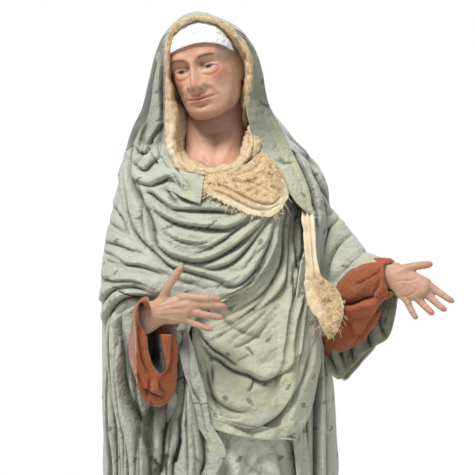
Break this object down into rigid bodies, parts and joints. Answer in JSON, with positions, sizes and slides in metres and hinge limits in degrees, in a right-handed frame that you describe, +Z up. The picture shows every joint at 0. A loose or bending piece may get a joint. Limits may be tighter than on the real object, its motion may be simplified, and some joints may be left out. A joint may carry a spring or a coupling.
{
  "type": "nativity figure",
  "caption": "Standing old woman for a nativity scene, with painted terracotta head and open hands, draped hooded mantle, gauze veil and wide sleeves, on a low oval base.",
  "frame": {"origin": "centre of the base's underside", "axes": "+Z up, the figure faces -Y, and its left arm reaches out towards +X"},
  "size_m": [0.2211, 0.1441, 0.4765],
  "materials": {
    "wood_base": "dark stained, satin",
    "sage_cloth": "matt woven cloth stiffened with glue",
    "rust_cloth": "matt woven cloth stiffened with glue",
    "dark_cloth": "matt dark lining",
    "ochre_gauze": "open-weave gauze, stiffened",
    "white_linen": "matt white cloth",
    "painted_terracotta": "oil-painted, soft sheen"
  },
  "bodies": {
    "root": {"base": "wood_base", "robe": "sage_cloth", "mantle": "sage_cloth", "head": "painted_terracotta", "headband": "white_linen", "veil": "ochre_gauze", "veil_tail": "ochre_gauze", "right_sleeve": "rust_cloth", "left_sleeve": "rust_cloth", "right_undersleeve": "dark_cloth", "left_undersleeve": "dark_cloth", "right_hand": "painted_terracotta", "left_hand": "painted_terracotta"}
  },
  "joints": []
}
